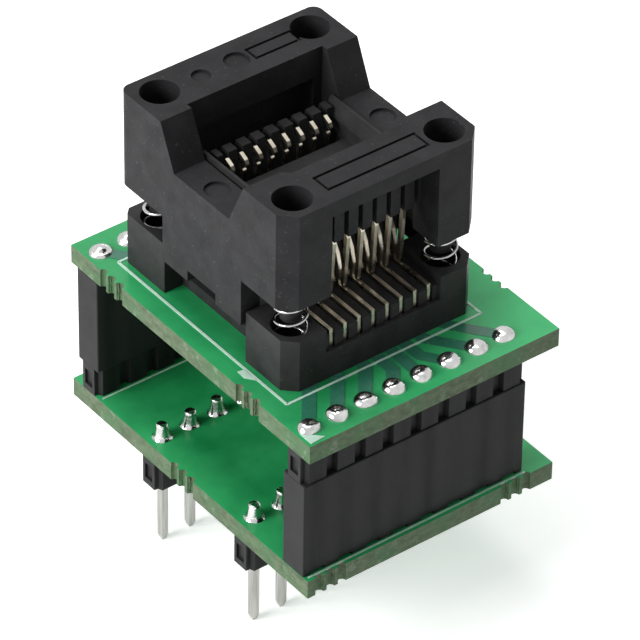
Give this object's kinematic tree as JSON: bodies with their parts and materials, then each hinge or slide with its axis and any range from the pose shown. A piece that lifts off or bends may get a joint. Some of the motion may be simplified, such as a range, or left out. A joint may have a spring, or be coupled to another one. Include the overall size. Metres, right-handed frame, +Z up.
{
  "type": "chip test socket adapter board",
  "caption": "Two stacked circuit boards joined by keyed header rows, with a press-open chip socket on top and two rows of square plug pins below",
  "frame": {"origin": "under the middle of the boards, at the level of the plug pins' tips", "axes": "+X along the pin rows to the right, +Y to the back, +Z up"},
  "size_m": [0.0228, 0.0292, 0.0382],
  "materials": {
    "circuit_board": "green solder mask over glass-fibre laminate",
    "moulded_base": "fine-grained black moulding",
    "moulded_cover": "fine-grained grey-black moulding",
    "header_plastic": "smooth black moulding",
    "spring_wire": "bright drawn steel wire",
    "plated_contact": "thin pale gold plating",
    "header_clip": "gold-plated sheet",
    "tinned_pin": "drawn and tinned",
    "solder": "bright solder"
  },
  "bodies": {
    "boards": {"upper_board": "circuit_board", "lower_board": "circuit_board", "socket_base": "moulded_base", "spring_front_left": "spring_wire", "spring_front_right": "spring_wire", "spring_back_left": "spring_wire", "spring_back_right": "spring_wire", "front_contact_stems": "plated_contact", "back_contact_stems": "plated_contact", "front_pin_insulator": "header_plastic", "front_header_pins": "tinned_pin", "front_socket_header": "header_plastic", "front_header_clips": "header_clip", "back_pin_insulator": "header_plastic", "back_header_pins": "tinned_pin", "back_socket_header": "header_plastic", "back_header_clips": "header_clip", "front_plug_insulator": "header_plastic", "back_plug_insulator": "header_plastic", "plug_pin_1": "tinned_pin", "plug_pin_2": "tinned_pin", "plug_pin_3": "tinned_pin", "plug_pin_4": "tinned_pin", "plug_pin_5": "tinned_pin", "plug_pin_6": "tinned_pin", "plug_pin_7": "tinned_pin", "plug_pin_8": "tinned_pin", "plug_pin_9": "tinned_pin", "plug_pin_10": "tinned_pin", "plug_pin_11": "tinned_pin", "plug_pin_12": "tinned_pin", "plug_pin_13": "tinned_pin", "plug_pin_14": "tinned_pin", "plug_pin_15": "tinned_pin", "plug_pin_16": "tinned_pin", "front_upper_joints": "solder", "back_upper_joints": "solder", "front_lower_joints": "solder", "back_lower_joints": "solder", "front_plug_joints": "solder", "back_plug_joints": "solder", "front_tail_joints": "solder", "back_tail_joints": "solder"},
    "cover": {"socket_cover": "moulded_cover"},
    "front_arms": {"contact_arm_1": "plated_contact", "contact_arm_2": "plated_contact", "contact_arm_3": "plated_contact", "contact_arm_4": "plated_contact", "contact_arm_5": "plated_contact", "contact_arm_6": "plated_contact", "contact_arm_7": "plated_contact", "contact_arm_8": "plated_contact"},
    "back_arms": {"contact_arm_9": "plated_contact", "contact_arm_10": "plated_contact", "contact_arm_11": "plated_contact", "contact_arm_12": "plated_contact", "contact_arm_13": "plated_contact", "contact_arm_14": "plated_contact", "contact_arm_15": "plated_contact", "contact_arm_16": "plated_contact"}
  },
  "joints": [
    {"name": "cover_press", "type": "slide", "parent": "boards", "child": "cover", "axis": [0, 0, -1], "range_m": [0, 0.0025], "stiffness_N_per_m": 1500, "springref_m": -0.0015, "deforming": ["spring_front_left", "spring_front_right", "spring_back_left", "spring_back_right"]},
    {"name": "front_arms_bend", "type": "hinge", "parent": "boards", "child": "front_arms", "pos_m": [-0.00065, -0.00525, 0.02674], "axis": [1, 0, 0], "range_deg": [0, 4.4]},
    {"name": "back_arms_bend", "type": "hinge", "parent": "boards", "child": "back_arms", "pos_m": [-0.00065, 0.00695, 0.02674], "axis": [-1, 0, 0], "range_deg": [0, 4.4]}
  ],
  "couplings": [
    {"joint": "front_arms_bend", "follows": "cover_press", "rad_per_m": 30},
    {"joint": "back_arms_bend", "follows": "cover_press", "rad_per_m": 30}
  ]
}
